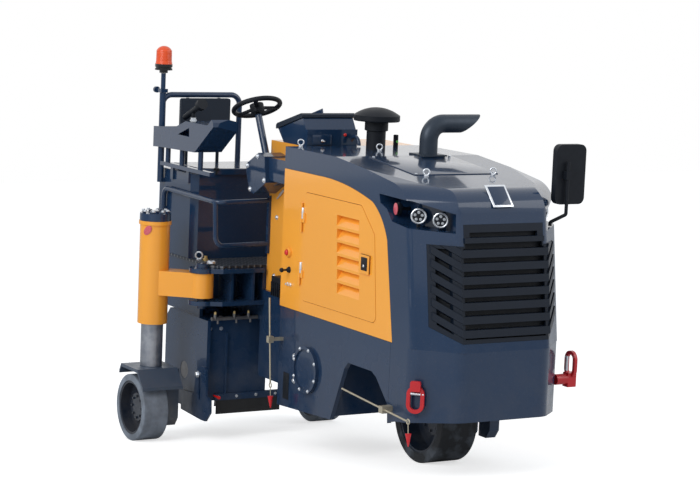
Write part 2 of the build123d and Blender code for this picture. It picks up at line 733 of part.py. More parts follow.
def rim(x, y, z, width, rim_radius, outward, bore, dish):
    """Dished steel wheel: barrel, centre disc set back by the dish, hub and bolts."""
    outer_y = y + outward * (width / 2 - 6)
    with BuildPart() as piece:
        with BuildSketch(wheel_plane(x, y - width / 2 + 6, z)):
            Circle(rim_radius)
            Circle(rim_radius - 16, mode=Mode.SUBTRACT)
        extrude(amount=width - 12)
        with BuildSketch(wheel_plane(x, outer_y - outward * dish, z)):
            Circle(rim_radius - 8)
        extrude(amount=-outward * 18)
        with BuildSketch(wheel_plane(x, outer_y - outward * (dish - 24), z)):
            Circle(rim_radius * 0.52)
        extrude(amount=-outward * 40)
        with BuildSketch(wheel_plane(x, outer_y - outward * (dish - 34), z)):
            with PolarLocations(rim_radius * 0.4, 8):
                RegularPolygon(9, 6)
        extrude(amount=-outward * 12)
        with BuildSketch(wheel_plane(x, outer_y - outward * (dish + 60), z)):
            Circle(bore + running)
        extrude(amount=outward * 70, mode=Mode.SUBTRACT)
    return piece


rear_rim_radius, front_rim_radius = 186.0, 226.0
for x, y, outward, name in ((column_x, column_y, -1, "right"),
                            (left_column_x, left_column_y, 1, "left")):
    keep(leg(x, y, outward), f"{name}_leg")
    wheel_y = y + outward * wheel_offset
    axle_z = axle_height(x, rear_radius)
    keep(tyre(x, wheel_y, axle_z, rear_radius, rear_width, rear_rim_radius),
         f"rear_{name}_tyre")
    keep(rim(x, wheel_y, axle_z, rear_width, rear_rim_radius, outward, 40, 70),
         f"rear_{name}_rim")

# Left column tube with the collar that rests on the frame.
with BuildPart() as left_column:
    with Locations((left_column_x, left_column_y, (column_low + column_high) / 2)):
        Cylinder(column_radius, column_high - column_low)
    with Locations((left_column_x, left_column_y, frame_top + 10)):
        Cylinder(column_radius + 30, 20)
    with Locations((left_column_x, left_column_y, column_high + 26)):
        Cylinder(column_radius + 4, 52)
    with BuildSketch(Plane.XY.offset(column_low - 5)):
        with Locations((left_column_x, left_column_y)):
            Circle(leg_radius + running)
    extrude(amount=column_high - 30 - column_low + 5, mode=Mode.SUBTRACT)
keep(left_column, "left_column")

# ---------------------------------------------------------------- front wheel
# Steering fork: kingpin, crown, and the motor leg on the left of the wheel.
front_inner = front_wheel_y + front_width / 2
with BuildPart() as front_fork:
    with Locations((front_axle_x, front_wheel_y, 930)):
        Cylinder(kingpin_radius, 196)
    block((front_axle_x - 100, front_axle_x + 100), (front_wheel_y - 110, front_inner + 125),
          (805, 850))
    with BuildSketch(Plane.XZ.offset(-front_inner - 10)):
        with BuildLine():
            Polyline((front_axle_x - 110, 850), (front_axle_x + 110, 850),
                     (front_axle_x + 110, 400), (front_axle_x + 60, 335),
                     (front_axle_x - 60, 335), (front_axle_x - 110, 400), close=True)
        make_face()
    extrude(amount=-115)
    with BuildSketch(wheel_plane(front_axle_x, front_inner - 125, front_axle_z)):
        Circle(50)
    extrude(amount=150)
keep(front_fork, "front_fork")
keep(tyre(front_axle_x, front_wheel_y, front_axle_z, front_radius, front_width,
          front_rim_radius), "front_tyre")
keep(rim(front_axle_x, front_wheel_y, front_axle_z, front_width, front_rim_radius, -1, 50,
         120), "front_rim")

# ---------------------------------------------------------------- platform
# Chequer plate floor over the rear frame, open at the right for the folded column.
with BuildPart() as platform:
    with BuildSketch(Plane.XY.offset(frame_top)):
        with BuildLine():
            Polyline((frame_rear_x, right_side), (cowl_rear_x - 76, right_side),
                     (cowl_rear_x - 6, right_side + 70), (cowl_rear_x - 6, cowl_left),
                     (frame_rear_x, cowl_left), close=True)
        make_face()
        with Locations((left_column_x, left_column_y)):
            Circle(column_radius + 34, mode=Mode.SUBTRACT)
        with Locations((pin_x, pin_y)):
            Circle(50, mode=Mode.SUBTRACT)
    extrude(amount=floor_z - frame_top)
keep(platform, "platform")

# Seat box with bevelled front corners, the flat seat pad and the hung back plate.
seat_right, seat_left, seat_rear_x = right_side + 5, 30.0, frame_rear_x
seat_top = 1845.0
with BuildPart() as seat_box:
    with BuildSketch(Plane.XY.offset(floor_z)):
        with BuildLine():
            Polyline((seat_rear_x, seat_right), (seat_front_x - 45, seat_right),
                     (seat_front_x, seat_right + 45), (seat_front_x, seat_left - 45),
                     (seat_front_x - 45, seat_left), (seat_rear_x, seat_left), close=True)
        make_face()
    extrude(amount=seat_top - floor_z)
keep(seat_box, "seat_box")
with BuildPart() as seat_pad:
    with BuildSketch(Plane.XY.offset(seat_top)):
        with BuildLine():
            arc = ThreePointArc((60, seat_right + 50), (125, (seat_right + seat_left) / 2),
                                (60, seat_left - 20))
            Polyline(arc @ 1, (-345, seat_left - 20), (-345, seat_right + 50), arc @ 0)
        make_face()
    extrude(amount=42)
    fillet(seat_pad.edges().group_by(Axis.Z)[-1], radius=10)
keep(seat_pad, "seat_pad")

# ---------------------------------------------------------------- handrail and mast
# Hoop of tube behind the seat; its right upright is the foot of the beacon mast. The
# back plate hangs between two uprights under the hoop.
mast_x, mast_y = -380.0, -760.0
rail_radius, mast_foot_radius, pole_radius = 20.0, 23.0, 17.0
rail_left, rail_top = -151.0, 2362.0
with BuildPart() as handrail:
    with BuildLine() as route:
        FilletPolyline((mast_x, mast_y, 2100), (mast_x, mast_y, rail_top),
                       (mast_x, rail_left, rail_top), (mast_x, rail_left, seat_top), radius=70)
    with BuildSketch(Plane(origin=route.line @ 0, z_dir=route.line % 0)):
        Circle(rail_radius)
    sweep()
    with Locations((mast_x, mast_y, 2061)):
        Cylinder(mast_foot_radius, 632)
    block((mast_x - 20, mast_x + 20), (mast_y - 10, seat_right), (1745, 1775))
keep(handrail, "handrail")

with BuildPart() as backrest:
    with BuildSketch(Plane.YZ.offset(mast_x + 26)):
        with Locations((-445, 2201)):
            RectangleRounded(390, 278, 18)
    extrude(amount=28)
    for y in (-571, -324):
        with Locations((mast_x + 15, y, (seat_top + rail_top - rail_radius - 1) / 2)):
            Cylinder(12, rail_top - rail_radius - 1 - seat_top)
keep(backrest, "backrest")

with BuildPart() as beacon_mast:
    block((mast_x - 26, mast_x + 26), (mast_y - 26, mast_y + 26), (2378, 2404))
    with Locations((mast_x, mast_y, 2458)):
        Cylinder(pole_radius, 112)
    with Locations((mast_x - 105, mast_y, 2391)):
        Cylinder(22, 24, rotation=(0, 90, 0))
    with Locations((mast_x - 60, mast_y, 2391)):
        Cylinder(7, 80, rotation=(0, 90, 0))
keep(beacon_mast, "beacon_mast")

# Beacon: black ribbed foot with its fixing stud, and the domed lens above it.
with BuildPart() as beacon:
    with BuildSketch(Plane.XZ.offset(-mast_y)):
        with BuildLine():
            # radius and height up the foot and the lens
            foot = Polyline(*[(mast_x + r, z) for r, z in (
                (0, 2516), (30, 2516), (30, 2536), (62, 2536), (62, 2548), (56, 2550),
                (56, 2556), (62, 2558), (62, 2578), (60, 2580), (56, 2600), (55, 2672))])
            dome(foot @ 1, mast_x, 2706)
            Line((mast_x, 2706), (mast_x, 2516))
        make_face()
    revolve(axis=Axis((mast_x, mast_y, 0), (0, 0, 1)))
keep(beacon, "beacon")

# ---------------------------------------------------------------- control console
# Long armrest console beside the seat on three posts and a beam. Its outer plate runs
# further back than the box, past the mast.
console_right, console_left = -800.0, -592.0
console_side = [(-325, 1999), (-325, 2144), (-70, 2165), (80, 2215), (414, 2215),
                (470, 2258), (494, 2240), (500, 2211), (228, 2014)]
with BuildPart() as console:
    with BuildSketch(Plane.XZ.offset(-console_right)):
        with BuildLine():
            Polyline(*console_side, close=True)
        make_face()
    extrude(amount=console_right - console_left)
    with BuildSketch(Plane.XZ.offset(-console_right)):
        with BuildLine():
            Polyline((-430, 1993), (-430, 2137), (-324, 2145), (-324, 1999), close=True)
        make_face()
    extrude(amount=-10)
    # open tray behind the joystick
    block((-315, -85), (console_right + 10, console_left - 10), (2020, 2200),
          mode=Mode.SUBTRACT)
    with BuildSketch(Plane.XZ.offset(-console_right)):
        with BuildLine():
            Polyline((-39, 2114), (136, 2174), (141, 2112), close=True)
        make_face()
    extrude(amount=-60, mode=Mode.SUBTRACT)
    # front edge slanted in plan
    with BuildSketch(Plane.XY.offset(1900)):
        with BuildLine():
            Polyline((512, console_right - 5), (446, console_left + 5),
                     (600, console_left + 5), (600, console_right - 5), close=True)
        make_face()
    extrude(amount=500, mode=Mode.SUBTRACT)
    for x in (-264, -39, 248):
        with Locations((x, mast_y, 1955)):
            Cylinder(18, 130)
    with BuildSketch(Plane.XY.offset(1869)):
        with Locations((36, mast_y)):
            Rectangle(780, 36)
        with Locations((408, mast_y)):
            Circle(18)
    extrude(amount=28)
    for x in (-250, 0):
        block((x, x + 40), (mast_y + 15, seat_right), (1780, 1897))
keep(console, "console")

# Joystick: upright neck and the sloping grip with its disc head.
grip_tail, grip_head = Vector(-155, -690, 2222), Vector(112, -690, 2338)
with BuildPart() as joystick:
    with Locations((-25, -690, 2237)):
        Cylinder(13, 90)
    with BuildSketch(Plane(origin=grip_tail, z_dir=grip_head - grip_tail)):
        Circle(21)
    extrude(amount=(grip_head - grip_tail).length)
    with BuildSketch(Plane(origin=grip_head, z_dir=grip_head - grip_tail)):
        Circle(39)
    extrude(amount=-42)
keep(joystick, "joystick")

# ---------------------------------------------------------------- guard rail
# Bent tube that keeps the operator's legs clear of the folded wheel column.
guard_tube = 17.0
with BuildPart() as guard_rail:
    with BuildLine() as upper:
        FilletPolyline((-330, -752, 1560), (-330, -752, 1709), (500, -748, 1700),
                       (478, -334, 1704), radius=60)
    with BuildSketch(Plane(origin=upper.line @ 0, z_dir=upper.line % 0)):
        Circle(guard_tube)
    sweep()
    with BuildLine() as lower:
        FilletPolyline((470, -748, 1700), (494, -748, 1403), (478, -334, 1407), radius=60)
    with BuildSketch(Plane(origin=lower.line @ 0, z_dir=lower.line % 0)):
        Circle(guard_tube)
    sweep(path=lower.line)
    block((464, 492), (-348, cowl_right), (1340, 1738))
    block((-345, -315), (-760, seat_right), (1540, 1580))
keep(guard_rail, "guard_rail")

# ---------------------------------------------------------------- steering console
# Folded six-sided housing on the cowl, its duct to the hood, the raked column and the
# steering wheel.
console_face = -502.0
steer_foot = Vector(515, -389, 1991)
steer_hub = Vector(340, -389, 2335)
with BuildPart() as steering_console:
    with BuildSketch(Plane.XZ.offset(-console_face)):
        with BuildLine():
            Polyline((602, 2047), (430, 1956), (435, 1894), (490, 1775), (551, 1762),
                     (720, 1856), (690, 2030), close=True)
        make_face()
    extrude(amount=console_face - cowl_right)
    block((680, hood_rear_x - 1), (console_face + 30, cowl_right), (1870, 2025))
    with BuildSketch(Plane(origin=steer_foot, z_dir=steer_hub - steer_foot)):
        Circle(24)
    extrude(amount=(steer_hub - steer_foot).length - 60)
keep(steering_console, "steering_console")

steer_axis = (steer_hub - steer_foot).normalized()
steer_slope = steer_axis.cross(Vector(0, 1, 0))
ring_radius = 160.0
with BuildPart() as steering_wheel:
    with BuildSketch(Plane(origin=steer_hub - steer_axis * 42, z_dir=steer_axis)):
        Circle(48)
    extrude(amount=60)
    with BuildSketch(Plane(origin=steer_hub, x_dir=steer_slope, z_dir=(0, 1, 0))):
        with Locations((ring_radius, 0)):
            Circle(guard_tube)
    revolve(axis=Axis(steer_hub, steer_axis))
    for angle in (90, 210, 330):
        spoke = steer_slope * cos(radians(angle)) + Vector(0, 1, 0) * sin(radians(angle))
        with BuildSketch(Plane(origin=steer_hub - steer_axis * 14, x_dir=spoke,
                               z_dir=steer_axis)):
            with Locations((90, 0)):
                Rectangle(130, 30)
        extrude(amount=14)
    with BuildSketch(Plane(origin=steer_hub - steer_axis * 45, z_dir=steer_axis)):
        Circle(14 + running)
    extrude(amount=30, mode=Mode.SUBTRACT)
keep(steering_wheel, "steering_wheel")

# ---------------------------------------------------------------- drum housing
# Open box of thick plates round the drum; its right plate is flush with the platform
# and stands a little ahead of the front plate.
right_plate_front = 392.0
bearing_radius = 60.0
with BuildPart() as drum_housing:
    # side plate: outer y, y of its inner face, front edge
    for low, high, front in ((right_side, right_side + 25, right_plate_front),
                             (drum_left_y - 25, drum_left_y, drum_front_x)):
        with BuildSketch(Plane.XZ.offset(-low)):
            with BuildLine():
                Polyline((drum_rear_x, 215), (drum_rear_x, 800), (drum_rear_x + 60, rail_z),
                         (front, rail_z), (front, 351), (drum_front_x, 305),
                         (drum_front_x, 215), close=True)
            make_face()
            with Locations((drum_x, drum_z)):
                Circle(bearing_radius + running, mode=Mode.SUBTRACT)
        extrude(amount=low - high)
    inner_y = (right_side + 24, drum_left_y - 24)
    block((drum_front_x - 20, drum_front_x), inner_y, (305, rail_z))
    block((drum_rear_x + 60, drum_front_x), inner_y, (rail_z - 20, rail_z))
    block((drum_rear_x, drum_rear_x + 20), inner_y, (620, 800))
    # foot flange and upright rib on the front plate
    block((drum_front_x - 12, drum_front_x + 14), (-654, -150), (305, 351))
    block((drum_front_x - 1, drum_front_x + 14), (-578, -566), (350, 777))
    with BuildSketch(Plane.XZ.offset(-inner_y[0])):
        with BuildLine():
            Polyline((drum_rear_x, 800), (drum_rear_x + 60, rail_z),
                     (drum_rear_x + 60, rail_z - 20), (drum_rear_x + 20, 790), close=True)
        make_face()
    extrude(amount=inner_y[0] - inner_y[1])
keep(drum_housing, "drum_housing")

# Rubber flap that hangs below the front plate.
with BuildPart() as front_flap:
    block((drum_front_x + 1, drum_front_x + 9), (-638, -139), (208, 304))
keep(front_flap, "front_flap")

# Milling drum: tube with shaft ends and the holders with their round-shank picks.
drum_right, drum_left = right_side + 33, drum_left_y - 33
shell_radius = 185.0
with BuildPart() as drum:
    with Locations((drum_x, (drum_right + drum_left) / 2, drum_z)):
        Cylinder(shell_radius, drum_left - drum_right, rotation=(90, 0, 0))
        Cylinder(bearing_radius, drum_left - drum_right + 62, rotation=(90, 0, 0))
    # three spirals of holders round the tube
    stations = 11
    for spiral in (0, 1, 2):
        for station in range(stations):
            y = drum_right + 24 + station * (drum_left - drum_right - 48) / (stations - 1)
            angle = spiral * 120 + station * 33
            seat = Plane(origin=(drum_x, y, drum_z), x_dir=(cos(radians(angle)), 0,
                         sin(radians(angle))), z_dir=(0, 1, 0))
            with BuildSketch(seat.offset(-17)):
                with BuildLine():
                    Polyline((shell_radius - 8, -40), (shell_radius + 42, -28),
                             (drum_tip_radius, 26), (drum_tip_radius - 4, 34),
                             (shell_radius + 42, 16), (shell_radius - 8, 34), close=True)
                make_face()
            extrude(amount=34)
keep(drum, "drum")

# Floating side shoe with its slot, riding on the pivot bolt of the right plate.
with BuildPart() as side_shoe:
    with BuildSketch(Plane.XZ.offset(-right_side + 3)):
        with BuildLine():
            Polyline((42, 325), (246, 338), (268, 470), (280, 505))
            ThreePointArc((280, 505), (347, 548), (425, 532))
            Polyline((425, 532), (439, 355), (499, 334), (504, 250), (437, 179), (364, 176),
                     (52, 191), (42, 325))
        make_face()
        with Locations((334, 396)):
            SlotOverall(170, 24, rotation=94, mode=Mode.SUBTRACT)
    extrude(amount=15)
keep(side_shoe, "side_shoe")

# Rear gate of the drum housing.
with BuildPart() as rear_gate:
    block((drum_rear_x - 23, drum_rear_x - 3), (right_side + 30, drum_left_y - 30), (225, 660))
keep(rear_gate, "rear_gate")

# Water spray bar across the front of the drum housing: nozzles stand up along it and
# their screw plugs hang below.
spray_x, spray_z, spray_right, spray_left = 400.0, 884.0, -712.0, -358.0
with BuildPart() as spray_bar:
    with Locations((spray_x, (spray_right + spray_left) / 2, spray_z)):
        Cylinder(13, spray_left - spray_right, rotation=(90, 0, 0))
    for y in (-685, -539, -430):
        with Locations((spray_x + 3, y, spray_z + 14)):
            Cylinder(11, 34)
    for y in (-664, -521, -413):
        with Locations((spray_x + 3, y, spray_z - 16)):
            Cylinder(8, 38)
    for y in (-612, -478):
        block((drum_front_x - 30, spray_x), (y - 8, y + 8), (rail_z, spray_z + 8))
keep(spray_bar, "spray_bar")

# ---------------------------------------------------------------- gauge rods
# Two thin rods that mark the cutting line: one hangs plumb from a clamp behind the
# skirt, one lies along it, each with a ring and a pendant at its end.
plumb = Vector(sin(tilt), 0, -cos(tilt))
rod_radius = 6.0
with BuildPart() as gauge_rods:
    # rod: start, direction, length
    rear_top, side_tail = Vector(1017, -600, 1125), Vector(1947, -560, 690)
    side_way = (Vector(2735, -560, 642) - side_tail).normalized()
    for start, way, length in ((rear_top, plumb, 572), (side_tail, side_way, 790)):
        with BuildSketch(Plane(origin=start, z_dir=way)):
            Circle(rod_radius)
        extrude(amount=length)
        end = start + way * (length + 10)
        with Locations(end):
            Torus(15, 4, rotation=(90, 0, 0))
        with BuildSketch(Plane(origin=end + plumb * 13, z_dir=plumb)):
            Circle(3)
        extrude(amount=60)
        # pendant: distance below the ring, radius
        for below, radius in ((72, 19), (150, 4)):
            with BuildSketch(Plane(origin=end + plumb * below, z_dir=plumb)):
                Circle(radius)
        loft()
    block((1028, 1062), (-618, -582), (828, 872))
    block((1032, 1058), (-590, across(-1, half_width)), (840, 860))
    block((2432, 2474), (-580, across(-1, half_width)), (636, 680))
keep(gauge_rods, "gauge_rods")
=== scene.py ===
import math

import bpy
from mathutils import Matrix, Vector


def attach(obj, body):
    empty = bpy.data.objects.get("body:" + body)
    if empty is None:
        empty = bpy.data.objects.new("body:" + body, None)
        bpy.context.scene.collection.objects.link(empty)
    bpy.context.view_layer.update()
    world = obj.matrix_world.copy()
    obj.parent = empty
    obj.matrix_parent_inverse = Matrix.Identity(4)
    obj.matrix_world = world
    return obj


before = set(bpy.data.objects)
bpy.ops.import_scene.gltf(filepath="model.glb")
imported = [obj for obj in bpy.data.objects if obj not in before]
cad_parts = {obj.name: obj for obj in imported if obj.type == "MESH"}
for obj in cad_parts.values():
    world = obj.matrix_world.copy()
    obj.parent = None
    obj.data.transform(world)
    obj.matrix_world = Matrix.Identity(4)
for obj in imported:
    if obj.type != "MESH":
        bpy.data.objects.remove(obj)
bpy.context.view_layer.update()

# ---------------------------------------------------------------- camera
# A long lens a little above the bonnet, ahead of the machine and to its right.
yaw, pitch, roll = 0.5272, 0.0504, -0.0059
view = Vector((-math.cos(yaw) * math.cos(pitch), math.sin(yaw) * math.cos(pitch),
               -math.sin(pitch)))
level = view.cross(Vector((0, 0, 1))).normalized()
upright = level.cross(view)
right = level * math.cos(roll) + upright * math.sin(roll)
up = upright * math.cos(roll) - level * math.sin(roll)
bpy.ops.object.camera_add(location=(12.8478, -7.3353, 2.1043))
camera = bpy.context.object
camera.rotation_euler = Matrix((right, up, -view)).transposed().to_euler()
camera.data.lens = 114.95
camera.data.sensor_width = 36
camera.data.clip_end = 200
bpy.context.scene.camera = camera


# ---------------------------------------------------------------- stance
# The machine stands nose down on its three wheels. Places are given in its own upright
# frame, in millimetres, with X ahead, Y to the left and Z up; the stance turns them
# into the scene.
tilt = math.radians(5.5)
middle = Vector((1.309684, -0.236, 0))
stance = Matrix.Translation((-middle.x, -middle.y, 0)) @ Matrix.Rotation(tilt, 4, "Y")
middle_plane = 33
outward = (0, -1, 0)
upward = (0, 0, 1)
forward = (1, 0, 0)
backward = (-1, 0, 0)


# ---------------------------------------------------------------- tools for finishes
# A finish is one Principled shader. Its sockets take sums of noise and of place.
class Link:
    """A socket of a finish's node tree. Sums on links add the Math nodes for them."""

    def __init__(self, tree, socket=None):
        self.tree = tree
        self.socket = socket

    def node(self, kind, settings=None, inputs=None, out=0):
        """Adds a node, sets it up, then fills its sockets with values or links."""
        made = self.tree.nodes.new(kind)
        for name, value in (settings or {}).items():
            setattr(made, name, value)
        for key, value in (inputs or {}).items():
            if isinstance(value, Link):
                self.tree.links.new(value.socket, made.inputs[key])
            else:
                made.inputs[key].default_value = value
        return Link(self.tree, made.outputs[out])

    def math(self, operation, first, second=0.0):
        return self.node("ShaderNodeMath", {"operation": operation}, {0: first, 1: second})

    def __add__(self, other):
        return self.math("ADD", self, other)

    def __mul__(self, other):
        return self.math("MULTIPLY", self, other)

    def __sub__(self, other):
        return self.math("SUBTRACT", self, other)

    def __rsub__(self, other):
        return self.math("SUBTRACT", other, self)

    def above(self, edge, soft):
        """0 below an edge, 1 above it, with a soft step between."""
        return self.node("ShaderNodeMapRange", {"interpolation_type": "SMOOTHSTEP"},
                         {0: self, 1: edge - soft, 2: edge + soft, 3: 0.0, 4: 1.0})

    def shade(self, low, high):
        """Colour between two colours by this mask."""
        sides = [side if isinstance(side, Link) else (*side, 1) for side in (low, high)]
        return self.node("ShaderNodeMix", {"data_type": "RGBA"},
                         {0: self, 6: sides[0], 7: sides[1]}, out=2)


def finish(name, **plain):
    """New finish: its material, a link to start from, and the shader with plain values."""
    material = bpy.data.materials.new(name)
    material.use_nodes = True
    shader = material.node_tree.nodes["Principled BSDF"]
    for key, value in plain.items():
        shader.inputs[key.replace("_", " ")].default_value = value
    return material, Link(material.node_tree), shader


def feed(link, shader, key):
    link.tree.links.new(link.socket, shader.inputs[key])


def noise(start, scale, detail=3.0, rough=0.5):
    place = start.node("ShaderNodeTexCoord", out="Object")
    return start.node("ShaderNodeTexNoise", None,
                      {"Vector": place, "Scale": scale, "Detail": detail, "Roughness": rough})


def spot(start, axis):
    """One coordinate of the piece, in metres: 0, 1 or 2 for X, Y or Z."""
    place = start.node("ShaderNodeTexCoord", out="Object")
    return start.node("ShaderNodeSeparateXYZ", None, {0: place}, out=axis)


def own_height(start):
    """Height in the machine's own upright frame, in metres."""
    return (spot(start, 0) + middle.x) * math.sin(tilt) + spot(start, 2) * math.cos(tilt)


def raised(start, shader, relief, depth, strength=0.5):
    normal = start.node("ShaderNodeBump", None,
                        {"Height": relief, "Distance": depth, "Strength": strength})
    feed(normal, shader, "Normal")


def mottled(name, grain, colours, wear=None, skin=None, **plain):
    """Finish with a colour that wanders between two.

    grain is a noise's scale and detail. wear adds a roughness of its own: scale, detail,
    share and base. skin adds a fine relief: scale, detail, depth and strength.
    """
    material, start, shader = finish(name, **plain)
    feed(noise(start, *grain).shade(*colours), shader, "Base Color")
    if wear:
        scale, detail, share, base = wear
        feed(noise(start, scale, detail) * share + base, shader, "Roughness")
    if skin:
        scale, detail, depth, strength = skin
        raised(start, shader, noise(start, scale, detail), depth, strength)
    return material


def enamel(name, colour, worn, shine=0.22, dust=0.12):
    """Sprayed enamel with cloudy variation, low dust and an orange-peel skin."""
    material, start, shader = finish(name, Coat_Roughness=0.06, Specular_IOR_Level=0.1)
    cloud = noise(start, 2.2, 4.0).above(0.52, 0.2)
    specks = noise(start, 90.0, 2.0).above(0.66, 0.05)
    low = (1 - spot(start, 2).above(0.55, 0.55)) * noise(start, 7.0, 5.0).above(0.5, 0.22)
    paint = (cloud * 0.35).shade(colour, worn)
    dusty = (low * dust + specks * 0.04).shade(paint, (0.30, 0.27, 0.23))
    feed(dusty, shader, "Base Color")
    feed(cloud * 0.06 + low * 0.25 + shine, shader, "Roughness")
    feed(0.75 - low * 0.5, shader, "Coat Weight")
    raised(start, shader, noise(start, 260.0, 1.0), 0.0004, 0.25)
    return material


def dress(material, *nodes):
    """Gives CAD nodes their finish."""
    for node in nodes:
        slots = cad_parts[node].data.materials
        slots.clear()
        slots.append(material)


# ---------------------------------------------------------------- slate paint
# Dark blue-grey enamel of the hood, chassis, frames and rails: sprayed on steel,
# with a faint orange-peel skin and a little dust low down.
slate = enamel("slate_enamel", (0.010, 0.032, 0.080), (0.016, 0.041, 0.094))
dress(slate, "chassis", "front_bumper", "hood", "rear_frame", "hydraulic_tank",
      "hinge_bracket", "left_column", "front_fork", "seat_box", "handrail", "beacon_mast",
      "console", "guard_rail", "steering_console", "drum_housing", "control_box",
      "rear_gate", "side_shoe", "seat_pad", "column_cap")

# ---------------------------------------------------------------- yellow paint
# Orange-yellow enamel of the engine doors, their panels, the footwell wall and the
# swing arm with its column.
amber = enamel("yellow_enamel", (0.95, 0.40, 0.045), (0.90, 0.37, 0.040), 0.3, 0.06)
dress(amber, "side_panels", "door_right", "door_left", "rear_cowl", "swing_arm")

# ---------------------------------------------------------------- lifting legs
# The tubes are bare ground steel, polished by their seals; fenders and axle plates
# are slate. Everything above the fender, in the machine's own frame, is tube.
fender_top = 0.533
leg_steel, start, shader = finish("leg_steel", Specular_IOR_Level=0.5)
bare = own_height(start).above(fender_top, 0.001)
smear = noise(start, 14.0, 5.0).above(0.5, 0.25)
low_dust = (1 - spot(start, 2).above(0.25, 0.2)) * noise(start, 9.0, 5.0).above(0.45, 0.25)
fender_paint = (low_dust * 0.5).shade((0.040, 0.062, 0.10), (0.26, 0.24, 0.21))
ground_steel = smear.shade((0.20, 0.22, 0.26), (0.36, 0.38, 0.42))
feed(bare.shade(fender_paint, ground_steel), shader, "Base Color")
feed(bare * 0.75, shader, "Metallic")
feed(smear * 0.16 + 0.3, shader, "Roughness")
dress(leg_steel, "right_leg", "left_leg")

# ---------------------------------------------------------------- tyres and rims
# Solid rubber bands on dished steel rims. Road dust lies in patches on the rubber, and the rear
# treads are also painted a lighter blue-grey all over as painted light, while the front tyre
# stays black.
for name, painted_light_share, nodes in (("rear_rubber_painted_lit", 0.5, ("rear_right_tyre", "rear_left_tyre")),
                                 ("front_rubber", -0.15, ("front_tyre",))):
    rubber, start, shader = finish(name)
    dusted = noise(start, 9.0, 6.0).above(0.5, 0.2)
    pores = noise(start, 120.0, 4.0)
    # painted light: the share lifts the whole rear tread towards the pale blue-grey; the noise
    # adds dust patches
    feed((dusted * 0.4 + painted_light_share).shade((0.008, 0.010, 0.014), (0.24, 0.28, 0.34)), shader,
         "Base Color")
    feed(dusted * 0.15 + 0.68, shader, "Roughness")
    raised(start, shader, pores + dusted * 0.5, 0.002, 0.5)
    dress(rubber, *nodes)
rim_paint = enamel("rim_enamel", (0.008, 0.015, 0.030), (0.012, 0.020, 0.036), 0.42, 0.12)
dress(rim_paint, "rear_right_rim", "rear_left_rim", "front_rim")

# ---------------------------------------------------------------- plastics
# Black moulded plastic of the mirror, intake, joystick, steering wheel, lamp frames
# and grille mesh. The closed-in engine block behind them gets the same near-black as painted
# shade for the dark inside of the hood.
black = mottled("black_plastic", (30.0, 4.0), ((0.004, 0.006, 0.010), (0.010, 0.013, 0.019)),
                wear=(12.0, 2.0, 0.2, 0.38), skin=(500.0, 2.0, 0.0003, 0.4),
                Specular_IOR_Level=0.2)
# the engine block's near-black is painted shade
dress(black, "mirror", "intake", "joystick", "steering_wheel", "grille_mesh", "headlamps",
      "engine_block")

# ---------------------------------------------------------------- grille
# Frame and bars are pressed steel in satin black enamel, a little bluer and smoother
# than the mesh behind them.
grille_black = mottled("grille_black", (6.0, 4.0),
                       ((0.005, 0.009, 0.018), (0.008, 0.014, 0.026)),
                       wear=(20.0, 3.0, 0.12, 0.30), Specular_IOR_Level=0.25)
dress(grille_black, "grille")

# ---------------------------------------------------------------- back plate and lid
# Textured dark sheet on the seat back and the lid of the electrical box. One grain
# sets both its roughness and its relief.
vinyl, start, shader = finish("dark_vinyl", Specular_IOR_Level=0.25)
grain = noise(start, 320.0, 3.0)
feed(noise(start, 5.0).shade((0.010, 0.017, 0.030), (0.017, 0.026, 0.042)), shader,
     "Base Color")
feed(grain * 0.2 + 0.42, shader, "Roughness")
raised(start, shader, grain, 0.0005, 0.5)
dress(vinyl, "backrest", "control_lid")

# ---------------------------------------------------------------- front flap
# Dull black rubber sheet that hangs ahead of the drum and keeps the chips in.
flap_rubber = mottled("flap_rubber", (20.0, 5.0),
                      ((0.006, 0.007, 0.009), (0.020, 0.020, 0.021)),
                      wear=(40.0, 3.0, 0.2, 0.6))
dress(flap_rubber, "front_flap")

# ---------------------------------------------------------------- exhaust
# Pipe in heat-proof satin grey, lighter in patches.
pipe_paint = mottled("pipe_paint", (11.0, 5.0), ((0.012, 0.022, 0.038), (0.030, 0.045, 0.068)),
                     wear=(30.0, 4.0, 0.2, 0.33), Metallic=0.35)
dress(pipe_paint, "exhaust")

# ---------------------------------------------------------------- beacon
# Orange moulded lens with fine level ribs, over a plain black foot.
foot_top = 2.579
rib_rate = 620.0
orange, start, shader = finish("beacon_orange", Roughness=0.16)
height = own_height(start)
dome = height.above(foot_top, 0.001)
ribs = height.math("SINE", height * rib_rate)
feed(dome.shade((0.012, 0.013, 0.015),
                noise(start, 20.0).shade((0.90, 0.11, 0.018), (0.78, 0.07, 0.012))),
     shader, "Base Color")
raised(start, shader, ribs * dome, 0.0015, 0.35)
dress(orange, "beacon")

# ---------------------------------------------------------------- small metals
# Red enamel of the tow rings, khaki zinc of the gauge rods with their red pendants,
# worn tool steel of the drum and spray bar, and bright zinc of the bolts.
red = mottled("red_enamel", (15.0,), ((0.62, 0.012, 0.02), (0.46, 0.01, 0.016)), Roughness=0.3)
dress(red, "tow_rings")

# The front pendant hangs lower than the rear one, so its mask is raised before the cut.
pendant_top = 0.3705
front_drop = 0.0665
front_from = 0.6
zinc, start, shader = finish("khaki_zinc")
ahead = spot(start, 0).above(front_from, 0.01)
pendant = 1 - (spot(start, 2) + ahead * front_drop).above(pendant_top, 0.0005)
plating = noise(start, 25.0, 5.0).shade((0.36, 0.32, 0.23), (0.54, 0.50, 0.40))
feed(pendant.shade(plating, (0.60, 0.012, 0.02)), shader, "Base Color")
feed((1 - pendant) * 0.6, shader, "Metallic")
feed(noise(start, 60.0, 3.0) * 0.2 + 0.32, shader, "Roughness")
dress(zinc, "gauge_rods")

